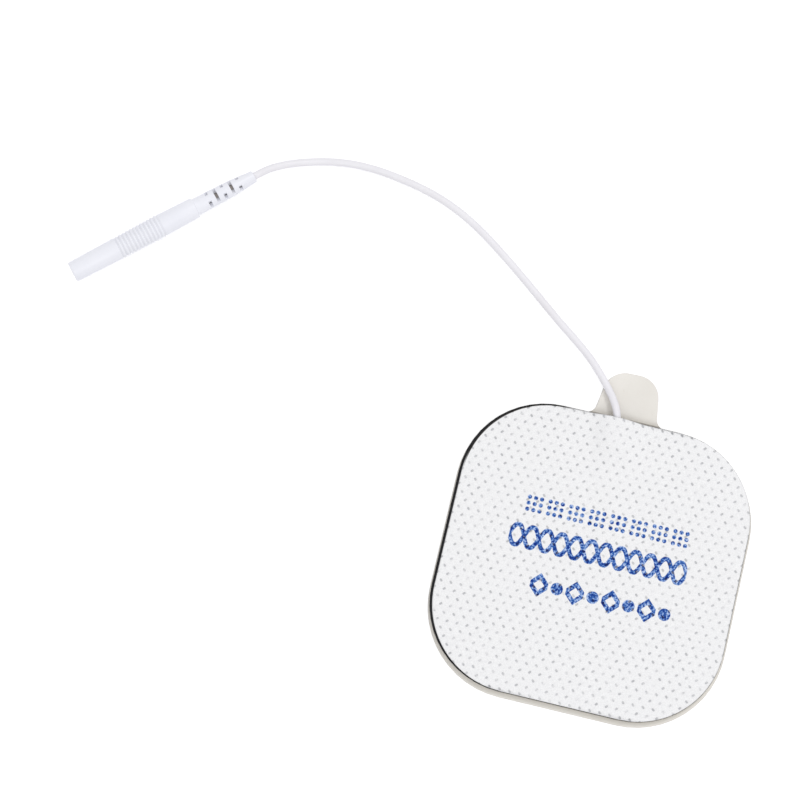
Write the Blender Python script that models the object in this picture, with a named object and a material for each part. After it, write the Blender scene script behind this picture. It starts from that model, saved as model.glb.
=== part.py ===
"""Self-adhesive electrode pad with its pigtail lead and socket plug, lying flat.

Metres, +Z up. The origin is on the surface under the middle of the pad, and +Y
points from the pad to the liner's tab.
"""

from math import atan2, cos, pi, radians, sin, tan

import bmesh
import bpy
import numpy as np
from mathutils import Vector
from mathutils.geometry import interpolate_bezier

# Clearances
LAYER_GAP = 0.00003
SEAT_GAP = 0.0001
WELD_DISTANCE = 1e-7

# Pad layers, from the surface up
PAD_SIDE = 0.0500
PAD_CORNER = 0.0150
LINER_THICKNESS = 0.00015
LINER_OVERHANG = 0.0004
LINER_SHIFT_X = -0.0001
LINER_SHIFT_Y = -0.0004
GEL_THICKNESS = 0.0009
GEL_INSET = 0.00003
GEL_EDGE_ROUND = 0.0002
FILM_THICKNESS = 0.00012
FILM_INSET = 0.00005
FILM_SHIFT_X = -0.00035
COVER_THICKNESS = 0.00035
COVER_INSET = 0.00015

# Pull tab of the liner
TAB_ROOT_WIDTH = 0.0111
TAB_TIP_WIDTH = 0.0085
TAB_REACH = 0.0083
TAB_CORNER = 0.0040
TAB_ROOT_FILLET = 0.0018
TAB_CENTRE_X = 0.0003

# Lead, and the place where it comes out from under the cover
LEAD_DIAMETER = 0.0013
LEAD_POINT_SPACING = 2.0
ENTRY_X = -0.0012
ENTRY_LEAN = 11.0
LEAD_UNDER_COVER = 0.0042

# Bare strands fanned out on the film
STRAND_COUNT = 5
STRAND_LENGTH = 0.0150
STRAND_WIDTH = 0.00024
STRAND_THICKNESS = 0.00018
STRAND_SPREAD = 0.0019
STRAND_ROOT_LENGTH = 0.0015

# Ridge of the cover over the lead and the strands
RIDGE_SIDE_WIDTH = 0.0042
RIDGE_RUNOUT = 0.0060
RIDGE_CUTS_ACROSS = 15
RIDGE_CUT_SPACING = 0.0011

# Plug: the free stretch of the lead ends in it, so its wire end is the point that is set
PLUG_WIRE_END = (-0.07157, 0.05169)
PLUG_HEADING = 42.4
PLUG_STEPS = 28
NOSE_LENGTH = 0.0085
NOSE_RADIUS = 0.0018
NOSE_CHAMFER = 0.00025
RIB_COUNT = 13
RIB_PITCH = 0.00068
RIB_CREST_SHARE = 0.5
RIB_DEPTH = 0.00016
FIRST_RIB_RADIUS = 0.00195
LAST_RIB_RADIUS = 0.00205
BARREL_LENGTH = 0.0065
BARREL_START_RADIUS = 0.00197
BARREL_END_RADIUS = 0.00182
COLLAR_LENGTH = 0.0020
COLLAR_RADIUS = 0.00152
RELIEF_LENGTH = 0.0096
RELIEF_TAPER = 0.0042
RELIEF_WAIST_RADIUS = 0.00140
RELIEF_END_RADIUS = 0.00105
SLOT_COUNT = 5
SLOT_PITCH = 0.00148
SLOT_WIDTH = 0.00055
FIRST_SLOT = 0.0007
SLOT_BRIDGE = 0.0012
SLOT_WEB = 0.0006

# Metal socket in the plug, with its crimp barrel
MOUTH_RADIUS = 0.00115
MOUTH_DEPTH = 0.0009
SOCKET_BORE = 0.0020
SOCKET_WALL = 0.0003
SOCKET_LENGTH = 0.0153
SOCKET_BORE_DEPTH = 0.0130
SPRING_SLIT_WIDTH = 0.00025
SPRING_SLIT_LENGTH = 0.0060
CRIMP_LENGTH = 0.0052
CRIMP_WALL = 0.0004
STRAND_BUNDLE = 0.00084
BUNDLE_GAP = 0.00008
BUNDLE_IN_CRIMP = 0.0047
LEAD_END_IN_BARREL = 0.0014

# Heights and lengths that follow from the sizes above
LINER_TOP = LINER_THICKNESS
GEL_BOTTOM = LINER_TOP + LAYER_GAP
FILM_BOTTOM = GEL_BOTTOM + GEL_THICKNESS + LAYER_GAP
FILM_TOP = FILM_BOTTOM + FILM_THICKNESS
COVER_BOTTOM = FILM_TOP + LAYER_GAP
COVER_TOP = COVER_BOTTOM + COVER_THICKNESS
LEAD_RISE = LEAD_DIAMETER + LAYER_GAP
STRAND_RISE = STRAND_THICKNESS + LAYER_GAP
STRANDS_END = LEAD_UNDER_COVER + LAYER_GAP + STRAND_LENGTH
RIDGE_CREST = LEAD_DIAMETER / 2 + SEAT_GAP

BARREL_START = NOSE_LENGTH + RIB_COUNT * RIB_PITCH
BARREL_END = BARREL_START + BARREL_LENGTH
COLLAR_END = BARREL_END + COLLAR_LENGTH
PLUG_LENGTH = COLLAR_END + RELIEF_LENGTH
PLUG_AXIS_Z = max(LAST_RIB_RADIUS, FIRST_RIB_RADIUS, BARREL_START_RADIUS) + LAYER_GAP
LEAD_BORE_RADIUS = LEAD_DIAMETER / 2 + SEAT_GAP
LEAD_END_S = BARREL_END - LEAD_END_IN_BARREL

SOCKET_START = MOUTH_DEPTH + SEAT_GAP
SOCKET_END = SOCKET_START + SOCKET_LENGTH
SOCKET_RADIUS = SOCKET_BORE / 2 + SOCKET_WALL
CRIMP_END = SOCKET_END + CRIMP_LENGTH
CRIMP_BORE_RADIUS = STRAND_BUNDLE / 2 + BUNDLE_GAP
CRIMP_RADIUS = CRIMP_BORE_RADIUS + CRIMP_WALL


def shade(red, green, blue):
    """Linear colour of a shade given as 0 to 255 screen values."""
    return [(value / 255) ** 2.2 for value in (red, green, blue)] + [1.0]


def finish(name, colour, roughness, metallic=0.0):
    """A Principled material."""
    material = bpy.data.materials.new(name)
    material.use_nodes = True
    shader = material.node_tree.nodes["Principled BSDF"]
    shader.inputs["Base Color"].default_value = colour
    shader.inputs["Roughness"].default_value = roughness
    shader.inputs["Metallic"].default_value = metallic
    material.diffuse_color = colour
    return material


def add_object(name, data, material, parent=None):
    """Puts a mesh or a curve into the scene with its material."""
    piece = bpy.data.objects.new(name, data)
    data.materials.append(material)
    piece.parent = parent
    bpy.context.scene.collection.objects.link(piece)
    return piece


def mesh_from(name, shape, smooth_angle=None):
    """A mesh made from a bmesh, with its faces turned outwards."""
    bmesh.ops.remove_doubles(shape, verts=shape.verts, dist=WELD_DISTANCE)
    bmesh.ops.recalc_face_normals(shape, faces=shape.faces)
    mesh = bpy.data.meshes.new(name)
    shape.to_mesh(mesh)
    shape.free()
    if smooth_angle is not None:
        mesh.shade_smooth()
        mesh.set_sharp_from_angle(angle=radians(smooth_angle))
    return mesh


def rounded_outline(corners, steps=12):
    """Points of a closed outline in which each corner (x, y, radius) is a tangent arc."""
    points = []
    for index, (x, y, radius) in enumerate(corners):
        corner = Vector((x, y))
        before = (Vector(corners[index - 1][:2]) - corner).normalized()
        after = (Vector(corners[(index + 1) % len(corners)][:2]) - corner).normalized()
        half_angle = before.angle(after) / 2
        centre = corner + (before + after).normalized() * radius / sin(half_angle)
        start = corner + before * radius / tan(half_angle) - centre
        end = corner + after * radius / tan(half_angle) - centre
        first = atan2(start.y, start.x)
        sweep = (atan2(end.y, end.x) - first + pi) % (2 * pi) - pi
        for step in range(steps + 1):
            angle = first + sweep * step / steps
            points.append((centre.x + radius * cos(angle), centre.y + radius * sin(angle)))
    return points


def square_outline(inset, shift_x=0.0):
    """The pad's rounded square, shrunk by the inset on every side."""
    half = PAD_SIDE / 2 - inset
    signs = ((1, 1), (-1, 1), (-1, -1), (1, -1))
    corners = [(sx * half + shift_x, sy * half, PAD_CORNER - inset) for sx, sy in signs]
    return rounded_outline(corners)


def outline_face(outline, height):
    """A bmesh that holds the outline as one face."""
    shape = bmesh.new()
    shape.faces.new([shape.verts.new((x, y, height)) for x, y in outline])
    return shape


def plate(name, outline, bottom, thickness, material, edge_round=0.0):
    """A flat layer with the given outline, with rounded rims where they are asked for."""
    shape = outline_face(outline, bottom)
    raised = bmesh.ops.extrude_face_region(shape, geom=shape.faces[:])["geom"]
    points = [item for item in raised if isinstance(item, bmesh.types.BMVert)]
    bmesh.ops.translate(shape, vec=(0, 0, thickness), verts=points)
    layer = add_object(name, mesh_from(name, shape), material)
    if edge_round:
        rim = layer.modifiers.new("rim", "BEVEL")
        rim.width = edge_round
        rim.segments = 2
        rim.limit_method = "ANGLE"
        rim.angle_limit = radians(60)
    return layer


def release_liner():
    """Liner under the gel, a little larger than the pad, with a rounded pull tab."""
    half = PAD_SIDE / 2 + LINER_OVERHANG
    left, right = LINER_SHIFT_X - half, LINER_SHIFT_X + half
    bottom, top = LINER_SHIFT_Y - half, LINER_SHIFT_Y + half
    corner = PAD_CORNER + LINER_OVERHANG
    tip = PAD_SIDE / 2 + TAB_REACH
    root, narrow = TAB_ROOT_WIDTH / 2, TAB_TIP_WIDTH / 2
    corners = [
        (right, bottom, corner),
        (right, top, corner),
        (TAB_CENTRE_X + root, top, TAB_ROOT_FILLET),
        (TAB_CENTRE_X + narrow, tip, TAB_CORNER),
        (TAB_CENTRE_X - narrow, tip, TAB_CORNER),
        (TAB_CENTRE_X - root, top, TAB_ROOT_FILLET),
        (left, top, corner),
        (left, bottom, corner),
    ]
    material = finish("liner", shade(232, 227, 216), 0.35)
    plate("release_liner", rounded_outline(corners), 0.0, LINER_THICKNESS, material)


def hydrogel_layer():
    """Adhesive gel that carries the current to the skin."""
    material = finish("gel", shade(205, 205, 190), 0.15)
    plate("hydrogel_layer", square_outline(GEL_INSET), GEL_BOTTOM, GEL_THICKNESS, material, GEL_EDGE_ROUND)


def carbon_film():
    """Conductive film, which shows as a dark line beside the cover."""
    material = finish("film", shade(35, 35, 38), 0.5)
    outline = square_outline(FILM_INSET, FILM_SHIFT_X)
    plate("carbon_film", outline, FILM_BOTTOM, FILM_THICKNESS, material)


def inward():
    """Direction in which the lead runs under the cover, away from the pad's edge."""
    return Vector((sin(radians(ENTRY_LEAN)), -cos(radians(ENTRY_LEAN)), 0.0))


def across():
    """Direction across the lead, where it runs under the cover."""
    return Vector((-inward().y, inward().x, 0.0))


def entry_point(depth, sideways=0.0, height=0.0):
    """Point at a depth inwards from where the lead crosses the pad's edge."""
    edge = Vector((ENTRY_X, PAD_SIDE / 2, height))
    return edge + inward() * depth + across() * sideways


def ramp(value):
    """Smooth step from 0 to 1."""
    value = min(max(value, 0.0), 1.0)
    return value * value * (3 - 2 * value)


def cover_rise(point):
    """How far the cover stands up over the lead and the strands at a point of the sheet."""
    offset = Vector((point.x - ENTRY_X, point.y - PAD_SIDE / 2, 0.0))
    depth = offset.dot(inward())
    sideways = abs(offset.dot(across()))
    over_lead = 1 - ramp((depth - LEAD_UNDER_COVER - SEAT_GAP) / RIDGE_RUNOUT)
    over_strands = 1 - ramp((depth - STRANDS_END - SEAT_GAP) / RIDGE_RUNOUT)
    height = STRAND_RISE * over_strands + (LEAD_RISE - STRAND_RISE) * over_lead
    return height * (1 - ramp((sideways - RIDGE_CREST) / RIDGE_SIDE_WIDTH))


def cover_fabric():
    """Non-woven cover: one sheet, cut into strips where its ridge curves, then thickened."""
    sheet = outline_face(square_outline(COVER_INSET), COVER_TOP)
    reach = RIDGE_CREST + RIDGE_SIDE_WIDTH
    cuts = [(entry_point(0, offset), across()) for offset in np.linspace(-reach, reach, RIDGE_CUTS_ACROSS)]
    ridge_end = STRANDS_END + SEAT_GAP + RIDGE_RUNOUT
    depths = np.linspace(RIDGE_CUT_SPACING, ridge_end, round(ridge_end / RIDGE_CUT_SPACING))
    cuts += [(entry_point(depth), inward()) for depth in depths]
    for place, normal in cuts:
        everything = sheet.verts[:] + sheet.edges[:] + sheet.faces[:]
        bmesh.ops.bisect_plane(sheet, geom=everything, plane_co=place, plane_no=normal, dist=WELD_DISTANCE)
    for vertex in sheet.verts:
        vertex.co.z += cover_rise(vertex.co)
    mesh = mesh_from("cover_fabric", sheet, 50)
    cover = add_object("cover_fabric", mesh, finish("fabric", shade(238, 238, 241), 0.85))
    wall = cover.modifiers.new("thickness", "SOLIDIFY")
    wall.thickness = COVER_THICKNESS
    wall.offset = -1.0 if mesh.polygons[0].normal.z > 0 else 1.0


def pad_strands():
    """Bare end of the lead's conductor, fanned into flat fingers on the film."""
    start = LEAD_UNDER_COVER + LAYER_GAP
    fork = start + STRAND_ROOT_LENGTH
    root_half = LEAD_DIAMETER / 2 - SEAT_GAP
    span = STRAND_SPREAD / STRAND_COUNT
    root_span = 2 * root_half / STRAND_COUNT
    points = [(start, -root_half), (fork, -root_half)]
    for number in range(STRAND_COUNT):
        middle = (number - (STRAND_COUNT - 1) / 2) * span
        half = STRAND_WIDTH / 2
        points += [(STRANDS_END, middle - half), (STRANDS_END, middle + half)]
        if number < STRAND_COUNT - 1:
            crotch = (number + 1) * root_span - root_half
            points.append((fork, crotch))
    points += [(fork, root_half), (start, root_half)]
    outline = [entry_point(depth, sideways)[:2] for depth, sideways in points]
    material = finish("conductor", shade(190, 150, 110), 0.35, 1.0)
    plate("pad_strands", outline, FILM_TOP + LAYER_GAP, STRAND_THICKNESS, material)


def plug_point(s):
    """Point of the plug's axis at a distance s from its free end."""
    back = PLUG_LENGTH - s
    heading = radians(PLUG_HEADING)
    x, y = PLUG_WIRE_END
    return Vector((x - back * cos(heading), y - back * sin(heading), PLUG_AXIS_Z))


def lead_route():
    """Points that the lead passes: under the cover, down over the tab, round to the plug."""
    radius = LEAD_DIAMETER / 2
    on_film = COVER_BOTTOM + radius
    on_tab = LINER_TOP + LAYER_GAP + radius
    low = radius + LAYER_GAP
    drop = on_film - on_tab
    climb = PLUG_AXIS_Z - low
    free = [
        (-0.00168, 0.02640, on_tab + 0.93 * drop),
        (-0.00238, 0.02774, on_tab + 0.62 * drop),
        (-0.00334, 0.02919, on_tab + 0.22 * drop),
        (-0.00488, 0.03110, on_tab),
        (-0.00734, 0.03372, low + LAYER_GAP),
        (-0.01105, 0.03675, low),
        (-0.01440, 0.03920, low),
        (-0.01864, 0.04253, low),
        (-0.02294, 0.04587, low),
        (-0.02725, 0.04905, low),
        (-0.03160, 0.05200, low),
        (-0.03530, 0.05405, low),
        (-0.03910, 0.05565, low),
        (-0.04300, 0.05680, low),
        (-0.04705, 0.05760, low),
        (-0.05140, 0.05815, low),
        (-0.05530, 0.05820, low),
        (-0.05930, 0.05770, low + 0.06 * climb),
        (-0.06320, 0.05660, low + 0.3 * climb),
        (-0.06690, 0.05505, low + 0.72 * climb),
        (-0.06940, 0.05355, low + 0.97 * climb),
    ]
    depths = (LEAD_UNDER_COVER, LEAD_UNDER_COVER / 2, 0.0)
    under = [entry_point(depth, 0.0, on_film) for depth in depths]
    inside = [plug_point(s) for s in (PLUG_LENGTH, (PLUG_LENGTH + LEAD_END_S) / 2, LEAD_END_S)]
    return np.array([tuple(point) for point in under + free + inside])


def smooth_curve(points, spacing, fine=17):
    """Evenly spaced points of a smooth curve: each stretch is a Bezier cubic along the chords."""
    along = np.concatenate([[0.0], np.cumsum(np.linalg.norm(np.diff(points, axis=0), axis=1))])
    handles = np.gradient(points, along, axis=0) / 3
    curve = []
    for i, length in enumerate(np.diff(along)):
        leaving = points[i] + length * handles[i]
        arriving = points[i + 1] - length * handles[i + 1]
        curve += interpolate_bezier(points[i], leaving, arriving, points[i + 1], fine)[:-1]
    curve = np.array(curve + [Vector(points[-1])])
    run = np.concatenate([[0.0], np.cumsum(np.linalg.norm(np.diff(curve, axis=0), axis=1))])
    places = np.linspace(0, run[-1], round(run[-1] / spacing))
    return np.stack([np.interp(places, run, curve[:, axis]) for axis in range(3)], axis=1)


def lead_wire():
    """Insulated lead, as a plain tube along its whole route."""
    points = smooth_curve(lead_route(), LEAD_POINT_SPACING * LEAD_DIAMETER)
    curve = bpy.data.curves.new("lead_wire", "CURVE")
    curve.dimensions = "3D"
    curve.bevel_depth = LEAD_DIAMETER / 2
    curve.bevel_resolution = 2
    curve.use_fill_caps = True
    line = curve.splines.new("POLY")
    line.points.add(len(points[1:]))
    for place, point in zip(line.points, points):
        place.co = (*point, 1.0)
    add_object("lead_wire", curve, finish("lead", shade(235, 232, 238), 0.4))


def turned(name, profile, material, parent, steps=PLUG_STEPS):
    """A body turned about its X axis from a closed profile of (distance, radius) points."""
    shape = bmesh.new()
    ring = [shape.verts.new((s, radius, 0.0)) for s, radius in profile]
    edges = [shape.edges.new((ring[i - 1], ring[i])) for i in range(len(ring))]
    bmesh.ops.spin(shape, geom=ring + edges, axis=(1, 0, 0), cent=(0, 0, 0), angle=2 * pi, steps=steps)
    return add_object(name, mesh_from(name, shape, 35), material, parent)


def box_cutter(name, boxes, parent):
    """A hidden cutter made of boxes, each given by its middle and its size."""
    shape = bmesh.new()
    for middle, size in boxes:
        box = bmesh.ops.create_cube(shape, size=1.0)["verts"]
        bmesh.ops.scale(shape, vec=size, verts=box)
        bmesh.ops.translate(shape, vec=middle, verts=box)
    cutter = add_object(name, mesh_from(name, shape), finish(name, shade(255, 0, 0), 0.5), parent)
    cutter.hide_render = True
    cutter.display_type = "WIRE"
    return cutter


def cut(piece, cutter):
    """Subtracts the cutter from the piece."""
    boolean = piece.modifiers.new("cut", "BOOLEAN")
    boolean.operation = "DIFFERENCE"
    boolean.object = cutter


def grip_profile():
    """Outside of the grip from its mouth to the lead, then back along its stepped bore."""
    outside = [(0.0, NOSE_RADIUS - NOSE_CHAMFER), (NOSE_CHAMFER, NOSE_RADIUS), (NOSE_LENGTH, FIRST_RIB_RADIUS)]
    for rib in range(RIB_COUNT):
        crest = FIRST_RIB_RADIUS + (LAST_RIB_RADIUS - FIRST_RIB_RADIUS) * rib / max(RIB_COUNT - 1, 1)
        start = NOSE_LENGTH + rib * RIB_PITCH
        crest_end = start + RIB_PITCH * RIB_CREST_SHARE
        flank = RIB_PITCH * (1 - RIB_CREST_SHARE) / 4
        outside += [
            (start + flank / 2, crest),
            (crest_end, crest),
            (crest_end + flank, crest - RIB_DEPTH),
            (start + RIB_PITCH - flank, crest - RIB_DEPTH),
        ]
    outside += [
        (BARREL_START, BARREL_START_RADIUS),
        (BARREL_END - NOSE_CHAMFER, BARREL_END_RADIUS),
        (BARREL_END, COLLAR_RADIUS),
        (COLLAR_END, COLLAR_RADIUS),
        (PLUG_LENGTH - RELIEF_TAPER, RELIEF_WAIST_RADIUS),
        (PLUG_LENGTH - NOSE_CHAMFER, RELIEF_END_RADIUS),
        (PLUG_LENGTH, RELIEF_END_RADIUS - NOSE_CHAMFER / 2),
    ]
    inside = [
        (PLUG_LENGTH, LEAD_BORE_RADIUS),
        (LEAD_END_S - SEAT_GAP, LEAD_BORE_RADIUS),
        (LEAD_END_S - SEAT_GAP, CRIMP_RADIUS + SEAT_GAP),
        (SOCKET_END + SEAT_GAP, CRIMP_RADIUS + SEAT_GAP),
        (SOCKET_END + SEAT_GAP, SOCKET_RADIUS + SEAT_GAP),
        (MOUTH_DEPTH, SOCKET_RADIUS + SEAT_GAP),
        (MOUTH_DEPTH, MOUTH_RADIUS),
        (0.0, MOUTH_RADIUS),
    ]
    return outside + inside


def relief_slots():
    """Slots through the strain relief, above and below, and in turn with them four corner notches."""
    boxes = []
    depth = COLLAR_RADIUS
    beside = (SLOT_BRIDGE + depth) / 2
    above = (SLOT_WEB + depth) / 2
    for number in range(SLOT_COUNT):
        s = COLLAR_END + FIRST_SLOT + number * SLOT_PITCH
        for level in (-1, 1):
            if number % 2:
                boxes.append(((s, 0, level * beside), (SLOT_WIDTH, 3 * depth, depth)))
            else:
                corners = [(s, side * beside, level * above) for side in (-1, 1)]
                boxes += [(corner, (SLOT_WIDTH, depth, depth)) for corner in corners]
    return boxes


def plug():
    """Moulded grip, the metal socket in it and the crimped end of the conductor."""
    axis = bpy.data.objects.new("plug_axis", None)
    bpy.context.scene.collection.objects.link(axis)
    axis.location = plug_point(0.0)
    axis.rotation_euler.z = radians(PLUG_HEADING)

    grip = turned("plug_grip", grip_profile(), finish("grip", shade(238, 238, 246), 0.35), axis)
    cut(grip, box_cutter("slot_cutter", relief_slots(), axis))

    metal = finish("socket", shade(200, 198, 192), 0.25, 1.0)
    bore = SOCKET_BORE / 2
    socket_profile = [
        (SOCKET_START, SOCKET_RADIUS),
        (SOCKET_END, SOCKET_RADIUS),
        (SOCKET_END + SEAT_GAP, CRIMP_RADIUS),
        (CRIMP_END, CRIMP_RADIUS),
        (CRIMP_END, CRIMP_BORE_RADIUS),
        (SOCKET_START + SOCKET_BORE_DEPTH, CRIMP_BORE_RADIUS),
        (SOCKET_START + SOCKET_BORE_DEPTH, bore),
        (SOCKET_START, bore),
    ]
    socket = turned("socket_contact", socket_profile, metal, axis)
    slit_middle = (SOCKET_START + SPRING_SLIT_LENGTH / 2 - SEAT_GAP, 0, 0)
    slit_size = (SPRING_SLIT_LENGTH + SEAT_GAP, SPRING_SLIT_WIDTH, 3 * SOCKET_RADIUS)
    cut(socket, box_cutter("slit_cutter", [(slit_middle, slit_size)], axis))

    bundle = STRAND_BUNDLE / 2
    ends = (CRIMP_END - BUNDLE_IN_CRIMP, LEAD_END_S - LAYER_GAP)
    strand_profile = [(ends[0], 0.0), (ends[0], bundle), (ends[1], bundle), (ends[1], 0.0)]
    strands = finish("crimped_conductor", shade(190, 150, 110), 0.35, 1.0)
    turned("crimp_strands", strand_profile, strands, axis)


def main():
    for old in list(bpy.data.objects):
        bpy.data.objects.remove(old)
    release_liner()
    hydrogel_layer()
    carbon_film()
    pad_strands()
    cover_fabric()
    lead_wire()
    plug()


main()
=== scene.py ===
"""Looks of a self-adhesive electrode pad with its pigtail lead and socket plug.

The pad lies on its release liner, seen almost from above. Named lengths are
millimetres, and MM turns them into metres where a mesh is made.
"""

from math import cos, pi, radians, sin

import bpy
import numpy as np
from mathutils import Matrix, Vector


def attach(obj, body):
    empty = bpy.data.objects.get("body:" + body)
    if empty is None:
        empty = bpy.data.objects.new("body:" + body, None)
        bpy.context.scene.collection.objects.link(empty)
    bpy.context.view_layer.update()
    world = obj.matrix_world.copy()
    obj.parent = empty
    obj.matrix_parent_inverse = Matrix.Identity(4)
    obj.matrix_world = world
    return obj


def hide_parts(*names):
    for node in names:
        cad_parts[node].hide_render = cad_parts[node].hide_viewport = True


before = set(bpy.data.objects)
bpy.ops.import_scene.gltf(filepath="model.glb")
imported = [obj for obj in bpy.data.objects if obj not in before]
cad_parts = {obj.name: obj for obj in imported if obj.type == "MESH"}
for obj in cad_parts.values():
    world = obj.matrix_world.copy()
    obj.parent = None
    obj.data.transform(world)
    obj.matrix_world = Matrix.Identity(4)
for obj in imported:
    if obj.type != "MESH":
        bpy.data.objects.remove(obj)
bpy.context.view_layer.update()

MM = 0.001

# Camera, as the photograph's view of the pad
VIEW_AZIMUTH = 12.4
VIEW_ELEVATION = 79.0
VIEW_ROLL = 1.1
VIEW_DISTANCE = 421.2
VIEW_SIDE = -32.28
VIEW_RISE = 27.17
VIEW_LENS = 112.5
PLANE_HEIGHT = 1.3

# Staging: where the lamps look, the floor's reach, and the light's levels
LAMP_AIM = (-30.0, 20.0, 0.0)
FLOOR_REACH = 1500.0
FLOOR_GAP = 0.03
FLOOR_GLOW = 0.4
WORLD_LIGHT = 0.77

# Pad layers
LAYER_GAP = 0.03
PAD_SIDE = 50.0
PAD_CORNER = 15.0
LINER_THICKNESS = 0.15
LINER_OVERHANG = 0.4
LINER_SHIFT_X = -0.1
LINER_SHIFT_Y = -0.4
LINER_RIM = 0.04
GEL_THICKNESS = 0.9
GEL_INSET = 0.03
GEL_BULGE = 0.3
GEL_STEP = 0.5
FILM_THICKNESS = 0.12
FILM_INSET = 0.05
FILM_SHIFT_X = -0.35
FILM_RIM = 0.03
COVER_THICKNESS = 0.35
COVER_INSET = 0.15
COVER_RIM = 0.06
GEL_BOTTOM = LINER_THICKNESS + LAYER_GAP
FILM_BOTTOM = GEL_BOTTOM + GEL_THICKNESS + LAYER_GAP
COVER_BOTTOM = FILM_BOTTOM + FILM_THICKNESS + LAYER_GAP
COVER_TOP = COVER_BOTTOM + COVER_THICKNESS

# Points of a flat layer: its outline, and rings as shares of it that crowd towards its edge
OUTLINE_STEP = 0.4
LAYER_RINGS = 26
INNER_RING = 0.04
OUTER_RING = 0.985
RING_CROWDING = 1.6

# Pull tab of the liner
TAB_ROOT_WIDTH = 11.1
TAB_TIP_WIDTH = 8.5
TAB_REACH = 8.3
TAB_CORNER = 4.0
TAB_ROOT_FILLET = 1.8
TAB_CENTRE_X = 0.3
TAB_CURL = 0.45

# X and Y at which the tab's curl starts, and how far it takes to rise along each
CURL_START = (-1.5, 26.0)
CURL_REACH = (6.0, 7.5)

# Painted shade on the liner: at the tab's root, a line under the cover's edge, and round the pad's
# rim
TAB_SHADE = 1.6
TAB_SHADE_START = 1.5
TAB_SHADE_AMOUNT = 0.35
TAB_LINE = 0.45
TAB_LINE_FADE = 0.2
TAB_LINE_AMOUNT = 0.6
RIM_SHADE = 0.5
RIM_SHADE_AMOUNT = 0.05

# Lead
LEAD_DIAMETER = 1.3
ENTRY_X = -1.2
ENTRY_LEAN = 11.0
LEAD_UNDER_COVER = 4.2
STRANDS_END = 19.3
LEAD_RISE = LEAD_DIAMETER + LAYER_GAP
STRAND_RISE = 0.21
SEAT_GAP = 0.1
RIDGE_CREST = LEAD_DIAMETER / 2 + SEAT_GAP
RIDGE_SIDE_WIDTH = 4.2
RIDGE_RUNOUT = 6.0
LEAD_END_S = 22.44
LEAD_STEP = 0.35
LEAD_SIDES = 28
LEAD_CUT_ROUND = 0.05
# Painted shade on the lead inside the plug: how far in from the plug's end it starts, and over what
# length it fades in
HIDDEN_DEPTH = 0.3
HIDDEN_FADE = 0.6

# Plug, measured from its free end
PLUG_WIRE_END = (-71.57, 51.69)
PLUG_HEADING = 42.4
PLUG_LENGTH = 35.44
PLUG_AXIS_Z = 2.08
NOSE_LENGTH = 8.5
NOSE_RADIUS = 1.8
NOSE_ROUND = 0.25
RIB_COUNT = 13
RIB_PITCH = 0.68
RIB_DEPTH = 0.16
RIB_ROUND = 0.08
CREST_START = 0.04
CREST_END = 0.34
GROOVE_START = 0.44
GROOVE_END = 0.6
FIRST_RIB_RADIUS = 1.95
LAST_RIB_RADIUS = 2.05
BARREL_START = NOSE_LENGTH + RIB_COUNT * RIB_PITCH
BARREL_LENGTH = 6.5
BARREL_END = BARREL_START + BARREL_LENGTH
BARREL_START_RADIUS = 1.97
BARREL_END_RADIUS = 1.82
COLLAR_LENGTH = 2.0
COLLAR_END = BARREL_END + COLLAR_LENGTH
COLLAR_RADIUS = 1.52
RELIEF_TAPER = 4.2
RELIEF_WAIST_RADIUS = 1.4
RELIEF_END_RADIUS = 1.05
LEAD_BORE_RADIUS = 0.75
SLOT_COUNT = 5
SLOT_PITCH = 1.48
SLOT_WIDTH = 0.55
FIRST_SLOT = 0.7
SLOT_BRIDGE = 1.2
SLOT_WEB = 0.6
MOUTH_RADIUS = 1.15
MOUTH_DEPTH = 0.9
SOCKET_END = 16.3
SOCKET_RADIUS = 1.3
CRIMP_RADIUS = 0.9
BORE_ROUND = 0.03
GRIP_SIDES = 72

# Painted shade on the grip: in the slots, notches, grooves between the ribs, and the mouth
SLOT_DARK_RADIUS = 1.3
SLOT_DARK_FADE = 0.35
LONG_SLOT_DARK = 0.5
NOTCH_DARK = 0.2
GROOVE_DARK = 0.07
MOUTH_DARK_RADIUS = 1.5
MOUTH_DARK_FADE = 0.2
MOUTH_DARK_START = 0.3

# Pressed dashes of the cover
DASH_ROW = 1.29
DASH_PITCH = 1.71
DASH_LENGTH = 0.57
DASH_WIDTH = 0.36
DASH_DEPTH = 0.12
DIAGONAL = 0.7071

# Form of the cover's grid: rows that crowd at both ends, a swell between the dashes, and
# slow waves, given along X and along Y as (radians per millimetre, start)
COVER_STEPS = 300
ROW_CROWDING = 0.25
ROW_SWEEP = 0.999
COVER_SWELL = 0.03
WAVE_HEIGHT = 0.035
WAVE_X = (0.31, 0.4)
WAVE_Y = (0.27, 1.1)
UNDERSIDE_STEP = 6
UNDERSIDE_COLUMNS = (0.2, 0.72)

# Painted shade on the cut edge of the cover: darker towards the film's side, its rear-left corner
# and the rear.
# A side is the direction that the edge faces there, and its darkness rises from FROM, as a
# share of the way to that direction, over FADE.
EDGE_DARK = 0.36
FILM_SIDE = (-0.95, 0.31)
FILM_SIDE_FROM = 0.3
FILM_SIDE_FADE = 0.6
FILM_SIDE_DARK = 0.33
CORNER_SIDE = (-0.55, 0.83)
CORNER_FROM = 0.6
CORNER_FADE = 0.15
CORNER_START_X = -7.0
CORNER_RUNOUT_X = 4.0
CORNER_DARK = 0.3
REAR_DARK = 0.26
TOP_EDGE_SHARE = 0.35
TOP_EDGE_CORNER = 0.5

# Darker strip along the cover's edge round the rear-left corner, with its X and Y limits
STRIP_WIDTH = 0.44
STRIP_FADE = 0.12
STRIP_START = (-8.0, 9.0)
STRIP_RUNOUT = (3.0, 5.0)

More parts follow.
